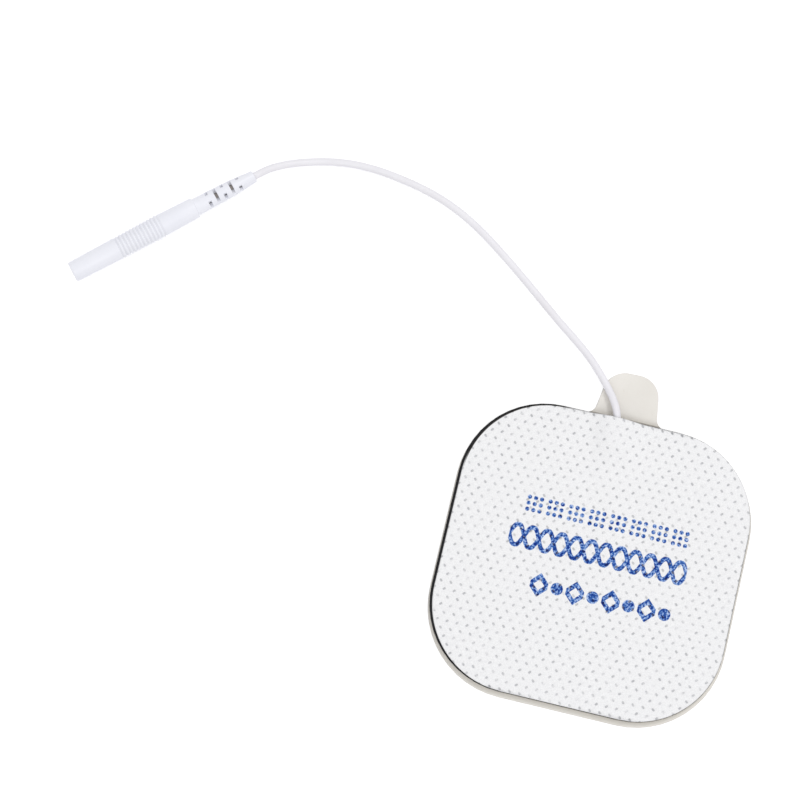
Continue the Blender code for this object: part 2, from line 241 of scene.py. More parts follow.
# Print of the cover: each row's middle, its pitch, its reach to either side in pitches
CLUSTER_ROW = (1.1, 7.2)
CLUSTER_PITCH = 3.6
CLUSTER_REACH = 4
DOT_PITCH = 1.05
DOT_RADIUS = 0.36
BRAID_ROW = (0.7, 1.5)
BRAID_PITCH = 5.1
BRAID_REACH = 3
BRAID_HEIGHT = 1.75
BRAID_STROKE = 0.38
SHAPE_ROW = (3.02, -6.0)
SHAPE_PITCH = 3.08
SHAPE_REACH = 4
DIAMOND_REACH = 1.5
DIAMOND_STROKE = 0.56
DISC_RADIUS = 1.05
INK_LOSS = 0.65


# Camera and staging


def away(azimuth, elevation):
    """Unit vector from the object towards a place seen at these angles, in degrees."""
    azimuth, elevation = radians(azimuth), radians(elevation)
    return Vector((sin(azimuth) * cos(elevation), -cos(azimuth) * cos(elevation), sin(elevation)))


def place_camera():
    """Sets up the camera at the photograph's place."""
    azimuth, roll = radians(VIEW_AZIMUTH), radians(VIEW_ROLL)
    back = away(VIEW_AZIMUTH, VIEW_ELEVATION)
    level = Vector((cos(azimuth), sin(azimuth), 0.0))
    rise = back.cross(level)
    right = cos(roll) * level + sin(roll) * rise
    up = cos(roll) * rise - sin(roll) * level
    camera = bpy.data.objects.new("camera", bpy.data.cameras.new("camera"))
    camera.data.lens = VIEW_LENS
    camera.data.sensor_width = 36.0
    camera.data.clip_start = 0.01
    camera.data.clip_end = 20.0
    place = Vector((0, 0, PLANE_HEIGHT)) + VIEW_SIDE * right + VIEW_RISE * up
    place += VIEW_DISTANCE * back
    turn = camera.matrix_world.to_3x3()
    for column, direction in enumerate((right, up, back)):
        turn.col[column] = direction
    camera.matrix_world = turn.to_4x4()
    camera.location = place * MM
    bpy.context.scene.collection.objects.link(camera)
    bpy.context.scene.camera = camera


def lamp(name, azimuth, elevation, distance, size, power):
    """A square soft lamp that looks at the object from a direction, with lengths in metres."""
    data = bpy.data.lights.new(name, "AREA")
    data.energy = power
    data.size = size
    light = bpy.data.objects.new(name, data)
    towards_lamp = away(azimuth, elevation)
    aim = Vector([length * MM for length in LAMP_AIM])
    light.location = aim + towards_lamp * distance
    light.rotation_euler = towards_lamp.to_track_quat("Z", "Y").to_euler()
    bpy.context.scene.collection.objects.link(light)


# Numbers that vary over a surface


class Field:
    """A number that varies over the surface, wired as Math nodes while a formula is worked out."""

    def __init__(self, tree, socket):
        self.tree = tree
        self.socket = socket

    def made(self, operation, *others):
        node = self.tree.nodes.new("ShaderNodeMath")
        node.operation = operation
        for slot, value in zip(node.inputs, (self, *others)):
            if isinstance(value, Field):
                self.tree.links.new(value.socket, slot)
            else:
                slot.default_value = value
        return Field(self.tree, node.outputs[0])

    def __add__(self, other):
        return self.made("ADD", other)

    def __sub__(self, other):
        return self.made("SUBTRACT", other)

    def __rsub__(self, other):
        return self.made("MULTIPLY", -1.0).made("ADD", other)

    def __mul__(self, other):
        return self.made("MULTIPLY", other)

    __rmul__ = __mul__

    def __truediv__(self, other):
        return self.made("DIVIDE", other)

    def __abs__(self):
        return self.made("ABSOLUTE")


def whole(value):
    """The next whole number below, for a field or an array."""
    return value.made("FLOOR") if isinstance(value, Field) else np.floor(value)


def root(value):
    """Square root, for a field or an array."""
    return value.made("SQRT") if isinstance(value, Field) else np.sqrt(value)


def larger(value, other):
    """The larger of two, for a field or an array."""
    return value.made("MAXIMUM", other) if isinstance(value, Field) else np.maximum(value, other)


def smaller(value, other):
    """The smaller of two, for a field or an array."""
    return value.made("MINIMUM", other) if isinstance(value, Field) else np.minimum(value, other)


def within(value):
    """The value held between 0 and 1."""
    return smaller(larger(value, 0.0), 1.0)


def ramp(value):
    """Smooth step from 0 to 1."""
    held = within(value)
    return held * held * (3.0 - 2.0 * held)


def over_level(value, level, gain):
    """0 under a level, and over it rising by the gain to 1."""
    return within((value - level) * gain)


def fraction(value):
    """What is left above the whole number below."""
    return value - whole(value)


def dash_mask(x, y, softness):
    """1 inside the pressed dashes and 0 outside, at a place in millimetres.

    The dashes are straight ovals in rows along X and lean by 45 degrees. Each second row
    is shifted by half a pitch, and its dashes lean the other way.
    """
    row = whole(y / DASH_ROW + 0.5)
    odd = 2.0 * fraction(row * 0.5)
    rise = y - row * DASH_ROW
    side = (fraction(x / DASH_PITCH + odd * 0.5) - 0.5) * DASH_PITCH
    lean = 1.0 - 2.0 * odd
    along = (side * lean + rise) * DIAGONAL
    aside = (side * lean - rise) * DIAGONAL
    past = larger(abs(along) - (DASH_LENGTH - DASH_WIDTH) / 2, 0.0)
    distance = root(past * past + aside * aside)
    return ramp((DASH_WIDTH / 2 - distance) / softness + 0.5)


# Shader helpers


def tone(red, green, blue):
    """Linear colour of a shade given as 0 to 255 screen values, by the sRGB curve."""
    values = np.array([red, green, blue]) / 255
    linear = np.where(values > 0.04045, ((values + 0.055) / 1.055) ** 2.4, values / 12.92)
    return (*linear.tolist(), 1.0)


def add_node(tree, kind, **settings):
    """A new node with its settings."""
    node = tree.nodes.new(kind)
    for name, value in settings.items():
        setattr(node, name, value)
    return node


def blend_colour(tree, share, low, high):
    """Mixes two colours, each a constant or a socket, by a field."""
    node = add_node(tree, "ShaderNodeMix", data_type="RGBA")
    tree.links.new(share.socket, node.inputs["Factor"])
    for slot, colour in ((node.inputs[6], low), (node.inputs[7], high)):
        if isinstance(colour, tuple):
            slot.default_value = colour
        else:
            tree.links.new(colour, slot)
    return node.outputs[2]


def new_group(name, inputs, outputs):
    """A shader node group with named number inputs, a Place vector and number outputs."""
    tree = bpy.data.node_groups.new(name, "ShaderNodeTree")
    tree.interface.new_socket("Place", in_out="INPUT", socket_type="NodeSocketVector")
    for socket, value in inputs:
        made = tree.interface.new_socket(socket, in_out="INPUT", socket_type="NodeSocketFloat")
        made.default_value = value
    for socket in outputs:
        tree.interface.new_socket(socket, in_out="OUTPUT", socket_type="NodeSocketFloat")
    return tree, tree.nodes.new("NodeGroupInput"), tree.nodes.new("NodeGroupOutput")


def noise(tree, place, scale, detail=3.0, roughness=0.5):
    """A noise field; scale is a number or a field."""
    node = add_node(tree, "ShaderNodeTexNoise")
    tree.links.new(place, node.inputs["Vector"])
    node.inputs["Detail"].default_value = detail
    node.inputs["Roughness"].default_value = roughness
    if isinstance(scale, Field):
        tree.links.new(scale.socket, node.inputs["Scale"])
    else:
        node.inputs["Scale"].default_value = scale
    return Field(tree, node.outputs["Fac"])


def fine_grain_group():
    """Fine grain of moulded or coated plastic: Mottle for the colour, Height for the bump."""
    tree, given, result = new_group("fine_grain", [("Scale", 900.0)], ["Mottle", "Height"])
    place, scale = given.outputs["Place"], Field(tree, given.outputs["Scale"])
    coarse = noise(tree, place, scale * 0.12, detail=2.0)
    fine = noise(tree, place, scale, detail=3.0, roughness=0.6)
    tree.links.new((coarse * 0.7 + fine * 0.3).socket, result.inputs["Mottle"])
    tree.links.new((coarse * 0.4 + fine * 0.6).socket, result.inputs["Height"])
    return tree


def handling_group():
    """Faint smudges and specks from handling, as Mark: 0 on clean places and up to 1 on marks."""
    tree, given, result = new_group("handling", [("Amount", 0.5)], ["Mark"])
    place, amount = given.outputs["Place"], Field(tree, given.outputs["Amount"])
    smudge = over_level(noise(tree, place, scale=90.0, detail=4.0), level=0.52, gain=4.0)
    speck = over_level(noise(tree, place, scale=2600.0, detail=1.0), level=0.74, gain=12.0)
    tree.links.new((within(smudge * 0.6 + speck) * amount).socket, result.inputs["Mark"])
    return tree


def use_group(tree, group, place, **values):
    """Places a group in a material and returns its outputs as fields, by name."""
    node = add_node(tree, "ShaderNodeGroup", node_tree=group)
    tree.links.new(place, node.inputs["Place"])
    for name, value in values.items():
        node.inputs[name].default_value = value
    return {output.name: Field(tree, output) for output in node.outputs}


def start_material(name, roughness, metallic=0.0):
    """A material with its Principled shader: (material, tree, shader, object place)."""
    material = bpy.data.materials.new(name)
    material.use_nodes = True
    tree = material.node_tree
    shader = tree.nodes["Principled BSDF"]
    shader.inputs["Roughness"].default_value = roughness
    shader.inputs["Metallic"].default_value = metallic
    place = add_node(tree, "ShaderNodeTexCoord").outputs["Object"]
    return material, tree, shader, place


def bump(tree, shader, height, strength, distance):
    """Feeds a height field to the shader's normal; distance is in metres."""
    node = add_node(tree, "ShaderNodeBump")
    node.inputs["Strength"].default_value = strength
    node.inputs["Distance"].default_value = distance
    tree.links.new(height.socket, node.inputs["Height"])
    tree.links.new(node.outputs["Normal"], shader.inputs["Normal"])


def surface_field(tree, name):
    """A number that the mesh holds for each of its points."""
    return Field(tree, add_node(tree, "ShaderNodeAttribute", attribute_name=name).outputs["Fac"])


def place_in_mm(tree, place):
    """X and Y of a place, in millimetres, as fields."""
    split = add_node(tree, "ShaderNodeSeparateXYZ")
    tree.links.new(place, split.inputs[0])
    return [Field(tree, split.outputs[axis]) * (1 / MM) for axis in range(2)]


def inside(distance, half_width, softness=0.1):
    """1 where a distance is under half a stroke's width, with a soft edge."""
    return within((half_width - distance) / softness + 0.5)


def outside_pad(x, y):
    """Distance outwards from the rounded square: from its straight sides or its corner arcs."""
    straight = PAD_SIDE / 2 - PAD_CORNER
    past_x, past_y = (larger(abs(value) - straight, 0.0) for value in (x, y))
    return root(past_x * past_x + past_y * past_y) - PAD_CORNER


# Materials


def printed_pattern(x, y):
    """Ink of the cover, 0 to 1: clusters of dots, a bold braid, and a row of diamonds and discs."""
    # Clusters of nine dots
    east, rise = x - CLUSTER_ROW[0], y - CLUSTER_ROW[1]
    side = (fraction(east / CLUSTER_PITCH) - 0.5) * CLUSTER_PITCH
    dot_x = side - larger(smaller(whole(side / DOT_PITCH + 0.5), 1.0), -1.0) * DOT_PITCH
    dot_y = rise - larger(smaller(whole(rise / DOT_PITCH + 0.5), 1.0), -1.0) * DOT_PITCH
    dots = inside(root(dot_x * dot_x + dot_y * dot_y), DOT_RADIUS)
    dots = dots * inside(abs(east), CLUSTER_REACH * CLUSTER_PITCH)
    # Two strands that cross at each half turn and meet at both ends
    east, rise = x - BRAID_ROW[0], y - BRAID_ROW[1]
    turn = east * (2 * pi / BRAID_PITCH)
    swing = turn.made("SINE") * BRAID_HEIGHT
    slope = turn.made("COSINE") * (BRAID_HEIGHT * 2 * pi / BRAID_PITCH)
    off_strand = abs(abs(rise) - abs(swing)) / root(slope * slope + 1.0)
    braid = inside(off_strand, BRAID_STROKE) * inside(abs(east), BRAID_REACH * BRAID_PITCH)
    # Diamonds and discs in turn
    east, rise = x - SHAPE_ROW[0], y - SHAPE_ROW[1]
    cell = east / SHAPE_PITCH
    side = (fraction(cell) - 0.5) * SHAPE_PITCH
    diamond = inside(abs(abs(side) + abs(rise) - DIAMOND_REACH), DIAMOND_STROKE)
    disc = inside(root(side * side + rise * rise), DISC_RADIUS)
    second = 2.0 * fraction(whole(cell) * 0.5)
    shapes = diamond * (1.0 - second) + disc * second
    shapes = shapes * inside(abs(east), SHAPE_REACH * SHAPE_PITCH)
    return within(dots + braid + shapes)


def cover_material():
    """White embossed non-woven: fibres, dashes with painted shade of uneven strength, and ink with
    pale spots.

    A point attribute paints shade on the cut edge, and a strip along the edge round the rear-left
    corner is darker.
    """
    material, tree, shader, place = start_material("cover_nonwoven", roughness=0.85)
    x, y = place_in_mm(tree, place)
    dashes = dash_mask(x, y, softness=0.14)
    fibres = noise(tree, place, scale=5200.0, detail=2.0, roughness=0.65)
    thread = over_level(fibres, level=0.3, gain=2.2)
    fabric = blend_colour(tree, thread, tone(229, 229, 231), tone(250, 250, 251))
    patches = noise(tree, place, scale=950.0, detail=2.0)
    # Painted shade in the pressed dashes, of uneven strength, on the fabric
    pressed = dashes * over_level(patches, level=0.25, gain=3.0)
    fabric = blend_colour(tree, pressed, fabric, tone(190, 191, 194))
    spots = noise(tree, place, scale=2400.0, detail=3.0, roughness=0.7)
    coverage = over_level(spots, level=0.33, gain=6.0)
    ink = printed_pattern(x, y) * (1.0 - (1.0 - coverage) * INK_LOSS)
    thin_ink = 1.0 - over_level(spots, level=0.38, gain=5.0)
    blue = blend_colour(tree, thin_ink, tone(2, 42, 130), tone(62, 142, 226))
    # Painted shade on the ink in the dashes
    blue = blend_colour(tree, dashes, blue, tone(2, 28, 92))
    # Painted shade on the cut edge, and a darker strip along the edge round the rear-left corner
    cut_edge_shade = surface_field(tree, "cut_edge_shade")
    left, rear = (STRIP_START[0] - x) / STRIP_RUNOUT[0], (y - STRIP_START[1]) / STRIP_RUNOUT[1]
    corner_strip_dark = ramp((outside_pad(x, y) + STRIP_WIDTH) / STRIP_FADE) * ramp(left) * ramp(rear)
    fabric = blend_colour(tree, larger(cut_edge_shade, corner_strip_dark), fabric, tone(34, 32, 28))
    tree.links.new(blend_colour(tree, ink, fabric, blue), shader.inputs["Base Color"])
    shader.inputs["Specular IOR Level"].default_value = 0.25
    shader.inputs["Sheen Weight"].default_value = 0.15
    bump(tree, shader, fibres * 0.25 - dashes * 0.6, strength=0.5, distance=0.00005)
    return material


def film_material(grain):
    """Black carbon-filled film with a faint matt grain."""
    material, tree, shader, place = start_material("carbon_black", roughness=0.7)
    fields = use_group(tree, grain, place, Scale=1800.0)
    colour = blend_colour(tree, fields["Mottle"], tone(16, 16, 18), tone(40, 40, 43))
    tree.links.new(colour, shader.inputs["Base Color"])
    shader.inputs["Specular IOR Level"].default_value = 0.2
    bump(tree, shader, fields["Height"], strength=0.3, distance=0.00002)
    return material


def gel_material(grain, handling):
    """Milky hydrogel, wet and slightly see-through at the rim."""
    material, tree, shader, place = start_material("hydrogel", roughness=0.12)
    fields = use_group(tree, grain, place, Scale=400.0)
    marks = use_group(tree, handling, place, Amount=0.6)
    colour = blend_colour(tree, fields["Mottle"], tone(206, 200, 186), tone(226, 221, 208))
    colour = blend_colour(tree, marks["Mark"], colour, tone(186, 178, 160))
    tree.links.new(colour, shader.inputs["Base Color"])
    shader.inputs["Subsurface Weight"].default_value = 0.4
    shader.inputs["Subsurface Radius"].default_value = (0.002, 0.002, 0.0015)
    shader.inputs["Coat Weight"].default_value = 0.4
    bump(tree, shader, fields["Height"], strength=0.4, distance=0.00008)
    return material


def liner_material(grain, handling):
    """Cream release film, smooth on its coated side, with painted shade round the pad and at the
    tab's root.
    """
    material, tree, shader, place = start_material("liner_cream", roughness=0.38)
    fields = use_group(tree, grain, place, Scale=1200.0)
    marks = use_group(tree, handling, place, Amount=0.35)
    colour = blend_colour(tree, fields["Mottle"], tone(224, 220, 213), tone(236, 233, 228))
    colour = blend_colour(tree, marks["Mark"], colour, tone(210, 203, 192))
    x, y = place_in_mm(tree, place)
    # Painted shade: darker at the tab's root, a painted shadow line under the cover's edge, and
    # round the pad's rim
    past_edge = y - PAD_SIDE / 2
    on_tab = within(past_edge + TAB_SHADE_START)
    tab_root_shade = ramp(1.0 - past_edge / TAB_SHADE) * on_tab * TAB_SHADE_AMOUNT
    colour = blend_colour(tree, tab_root_shade, colour, tone(172, 164, 152))
    contact = ramp(1.0 - outside_pad(x, y) / RIM_SHADE) * RIM_SHADE_AMOUNT
    colour = blend_colour(tree, contact, colour, tone(146, 139, 128))
    line = ramp((TAB_LINE - past_edge) / TAB_LINE_FADE) * on_tab * TAB_LINE_AMOUNT
    colour = blend_colour(tree, line, colour, tone(92, 82, 72))
    tree.links.new(colour, shader.inputs["Base Color"])
    bump(tree, shader, fields["Height"], strength=0.25, distance=0.00003)
    return material


def lead_material(grain, handling):
    """White insulation with a satin skin, and painted shade where it runs inside the plug."""
    material, tree, shader, place = start_material("lead_insulation", roughness=0.42)
    fields = use_group(tree, grain, place, Scale=2200.0)
    marks = use_group(tree, handling, place, Amount=0.3)
    colour = blend_colour(tree, fields["Mottle"], tone(229, 227, 233), tone(240, 239, 243))
    colour = blend_colour(tree, marks["Mark"], colour, tone(212, 206, 204))
    # Painted shade on the lead inside the plug
    colour = blend_colour(tree, surface_field(tree, "plug_shade"), colour, tone(158, 150, 144))
    tree.links.new(colour, shader.inputs["Base Color"])
    bump(tree, shader, fields["Height"], strength=0.2, distance=0.00002)
    return material


def grip_material(grain, handling):
    """White moulded plastic, with painted shade in the slots, the bore and the grooves."""
    material, tree, shader, place = start_material("grip_plastic", roughness=0.36)
    fields = use_group(tree, grain, place, Scale=1500.0)
    marks = use_group(tree, handling, place, Amount=0.3)
    colour = blend_colour(tree, fields["Mottle"], tone(231, 232, 241), tone(242, 243, 249))
    colour = blend_colour(tree, marks["Mark"], colour, tone(222, 220, 222))
    # Painted shade in the slots, the bore and the grooves
    colour = blend_colour(tree, surface_field(tree, "hollow_shade"), colour, tone(112, 106, 100))
    tree.links.new(colour, shader.inputs["Base Color"])
    bump(tree, shader, fields["Height"], strength=0.25, distance=0.00003)
    return material


def metal_material(name, dark, bright, grain, roughness):
    """Plated or bare metal with a fine drawn grain."""
    material, tree, shader, place = start_material(name, roughness, metallic=1.0)
    fields = use_group(tree, grain, place, Scale=3000.0)
    tree.links.new(blend_colour(tree, fields["Mottle"], dark, bright), shader.inputs["Base Color"])
    rough = fields["Mottle"] * 0.2 + (roughness - 0.1)
    tree.links.new(rough.socket, shader.inputs["Roughness"])
    bump(tree, shader, fields["Height"], strength=0.2, distance=0.00001)
    return material


def white_for_eye(tree):
    """1 for camera, glossy and transmission rays, and 0 for the rays that carry light."""
    path = add_node(tree, "ShaderNodeLightPath")
    names = ("Is Camera Ray", "Is Glossy Ray", "Is Transmission Ray")
    camera, glossy, passing = (Field(tree, path.outputs[name]) for name in names)
    return larger(larger(camera, glossy), passing)


def stage():
    """White floor that keeps the object's shadow, white surroundings and two soft lamps."""
    signs = ((-1, -1), (1, -1), (1, 1), (-1, 1))
    corners = np.array([(x * FLOOR_REACH, y * FLOOR_REACH, -FLOOR_GAP) for x, y in signs])
    mesh = bpy.data.meshes.new("floor")
    mesh.from_pydata((corners * MM).tolist(), [], [(0, 1, 2, 3)])
    floor = bpy.data.objects.new("floor", mesh)
    bpy.context.scene.collection.objects.link(floor)
    material, tree, shader, _ = start_material("floor_white", roughness=0.9)
    shader.inputs["Base Color"].default_value = tone(236, 236, 238)
    shader.inputs["Specular IOR Level"].default_value = 0.0
    shader.inputs["Emission Color"].default_value = (1.0, 1.0, 1.0, 1.0)
    glow = white_for_eye(tree) * FLOOR_GLOW
    tree.links.new(glow.socket, shader.inputs["Emission Strength"])
    mesh.materials.append(material)
    world = bpy.data.worlds.new("surroundings")
    bpy.context.scene.world = world
    world.use_nodes = True
    sky = world.node_tree.nodes["Background"]
    sky.inputs["Color"].default_value = (1.0, 1.0, 1.0, 1.0)
    level = white_for_eye(world.node_tree) * (1.0 - WORLD_LIGHT) + WORLD_LIGHT
    world.node_tree.links.new(level.socket, sky.inputs["Strength"])
    lamp("key_lamp", azimuth=150, elevation=62, distance=0.9, size=0.2, power=1.3)
    lamp("fill_lamp", azimuth=20, elevation=58, distance=1.0, size=0.6, power=1.5)


# Mesh helpers


def add_mesh(name, points, faces, material, smooth_angle=40):
    """A smooth-shaded piece from points in millimetres and lists of corners."""
    mesh = bpy.data.meshes.new(name)
    mesh.from_pydata((np.asarray(points) * MM).tolist(), [], faces)
    mesh.shade_smooth()
    mesh.set_sharp_from_angle(angle=radians(smooth_angle))
    mesh.materials.append(material)
    piece = bpy.data.objects.new(name, mesh)
    bpy.context.scene.collection.objects.link(piece)
    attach(piece, "root")
    return piece


def grid_faces(rows, columns, closed_rows=False, closed_columns=True):
    """Quads between neighbouring points of a grid whose points are numbered row by row."""
    row = np.arange(rows if closed_rows else rows - 1)[:, None]
    column = np.arange(columns if closed_columns else columns - 1)[None, :]
    here = row * columns + column
    right = row * columns + (column + 1) % columns
    above = (row + 1) % rows * columns + column
    corner = (row + 1) % rows * columns + (column + 1) % columns
    return np.stack([here, right, corner, above], axis=-1).reshape(-1, 4).tolist()


def set_field(piece, name, values):
    """Stores a number for each point of the piece."""
    layer = piece.data.attributes.new(name, "FLOAT", "POINT")
    layer.data.foreach_set("value", np.asarray(values, np.float32))


def rounded_outline(corners, steps=12):
    """Closed outline in which each corner (x, y, radius) is a tangent arc."""
    places = np.array([corner[:2] for corner in corners])
    before = np.roll(places, 1, axis=0) - places
    after = np.roll(places, -1, axis=0) - places
    pieces = []
    for place, back, ahead, corner in zip(places, before, after, corners):
        radius = corner[2]
        back, ahead = back / np.linalg.norm(back), ahead / np.linalg.norm(ahead)
        half = np.arccos(np.clip(back @ ahead, -1, 1)) / 2
        middle = (back + ahead) / np.linalg.norm(back + ahead)
        centre = place + middle * radius / np.sin(half)
        start = place + back * radius / np.tan(half) - centre
        end = place + ahead * radius / np.tan(half) - centre
        first = np.arctan2(start[1], start[0])
        sweep = (np.arctan2(end[1], end[0]) - first + pi) % (2 * pi) - pi
        angles = first + sweep * np.linspace(0, 1, steps + 1)
        pieces.append(centre + radius * np.stack([np.cos(angles), np.sin(angles)], axis=1))
    return np.concatenate(pieces)


def evenly(points, spacing):
    """A closed outline resampled so that its points are about a spacing apart."""
    ring = np.concatenate([points, points[:1]])
    run = np.concatenate([[0.0], np.cumsum(np.linalg.norm(np.diff(ring, axis=0), axis=1))])
    places = np.linspace(0, run[-1], round(run[-1] / spacing), endpoint=False)
    return np.stack([np.interp(places, run, ring[:, axis]) for axis in range(2)], axis=1)


def square_corners(inset, shift_x=0.0):
    """Corners of the pad's rounded square, shrunk by the inset, counter-clockwise."""
    half = PAD_SIDE / 2 - inset
    signs = ((1, 1), (-1, 1), (-1, -1), (1, -1))
    return [(sx * half + shift_x, sy * half, PAD_CORNER - inset) for sx, sy in signs]


def layer(name, outline, bottom, thickness, rim, lift, material):
    """A thin sheet: rings shrunk from the outline to its middle, above and below, and a rim.

    rim lists (outward, share of the thickness) steps, and lift(x, y) raises the sheet.
    """
    ahead = np.roll(outline, -1, axis=0) - np.roll(outline, 1, axis=0)
    outward = np.stack([ahead[:, 1], -ahead[:, 0]], axis=1)
    outward /= np.linalg.norm(ahead, axis=1)[:, None]
    shares = 1 - (1 - np.linspace(INNER_RING, OUTER_RING, LAYER_RINGS)) ** RING_CROWDING
    flat = [(share * outline, 0.0) for share in shares]
    edge = [(outline + out * outward, up) for out, up in rim]
    top = [(share * outline, 1.0) for share in shares[::-1]]
    rings = flat + edge + top
    points = [np.c_[ring, np.full(len(ring), bottom + up * thickness)] for ring, up in rings]
    points.append([[0.0, 0.0, bottom], [0.0, 0.0, bottom + thickness]])
    points = np.concatenate(points)
    points[:, 2] += lift(points[:, 0], points[:, 1])
    count, columns = len(rings), len(outline)
    faces = grid_faces(count, columns)
    around = np.arange(columns)
    first, last = len(points) - 2, len(points) - 1
    final = (count - 1) * columns
    faces += [[first, (i + 1) % columns, i] for i in around]
    faces += [[last, final + i, final + (i + 1) % columns] for i in around]
    return add_mesh(name, points, faces, material, smooth_angle=60)


def flat(x, y):
    """No lift, for the layers that lie flat."""
    return 0.0 * x


# Pad


def make_liner(material):
    """Release liner with a rounded tab, whose free corner curls up a little."""
    half = PAD_SIDE / 2 + LINER_OVERHANG
    left, right = LINER_SHIFT_X - half, LINER_SHIFT_X + half
    bottom, top = LINER_SHIFT_Y - half, LINER_SHIFT_Y + half
    corner = PAD_CORNER + LINER_OVERHANG
    tip = PAD_SIDE / 2 + TAB_REACH
    wide, narrow = TAB_ROOT_WIDTH / 2, TAB_TIP_WIDTH / 2
    corners = [
        (right, bottom, corner),
        (right, top, corner),
        (TAB_CENTRE_X + wide, top, TAB_ROOT_FILLET),
        (TAB_CENTRE_X + narrow, tip, TAB_CORNER),
        (TAB_CENTRE_X - narrow, tip, TAB_CORNER),
        (TAB_CENTRE_X - wide, top, TAB_ROOT_FILLET),
        (left, top, corner),
        (left, bottom, corner),
    ]

    def curl(x, y):
        outwards = ramp((y - CURL_START[1]) / CURL_REACH[1])
        return TAB_CURL * outwards * ramp((x - CURL_START[0]) / CURL_REACH[0])

    rim = [(-LINER_RIM, 0.0), (0.0, 0.25), (0.0, 0.75), (-LINER_RIM, 1.0)]
    outline = evenly(rounded_outline(corners), OUTLINE_STEP)
    piece = layer("liner", outline, 0.0, LINER_THICKNESS, rim, curl, material)
    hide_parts("release_liner")


def make_gel(material):
    """Hydrogel layer with a soft bulging rim."""
    angles = np.linspace(-pi / 2, pi / 2, 9)
    rim = [(GEL_BULGE * cos(a) - GEL_BULGE, 0.5 + 0.5 * sin(a)) for a in angles]
    outline = evenly(rounded_outline(square_corners(GEL_INSET)), GEL_STEP)
    piece = layer("gel", outline, GEL_BOTTOM, GEL_THICKNESS, rim, flat, material)
    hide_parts("hydrogel_layer")


def make_film(material):
    """Carbon film with a cut edge."""
    rim = [(-FILM_RIM, 0.0), (0.0, 0.3), (0.0, 0.7), (-FILM_RIM, 1.0)]
    outline = evenly(rounded_outline(square_corners(FILM_INSET, FILM_SHIFT_X)), OUTLINE_STEP)
    piece = layer("film", outline, FILM_BOTTOM, FILM_THICKNESS, rim, flat, material)
    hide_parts("carbon_film")


def entry_frame():
    """Directions inwards along the lead and across it, where it runs under the cover."""
    lean = radians(ENTRY_LEAN)
    return np.array([sin(lean), -cos(lean)]), np.array([cos(lean), sin(lean)])


def cover_rise(x, y):
    """How far the cover stands up over the lead and its strands."""
    inward, sideways = entry_frame()
    east, north = x - ENTRY_X, y - PAD_SIDE / 2
    depth = east * inward[0] + north * inward[1]
    aside = np.abs(east * sideways[0] + north * sideways[1])
    over_lead = 1 - ramp((depth - LEAD_UNDER_COVER - SEAT_GAP) / RIDGE_RUNOUT)
    over_strands = 1 - ramp((depth - STRANDS_END - SEAT_GAP) / RIDGE_RUNOUT)
    height = STRAND_RISE * over_strands + (LEAD_RISE - STRAND_RISE) * over_lead
    return height * (1 - ramp((aside - RIDGE_CREST) / RIDGE_SIDE_WIDTH))


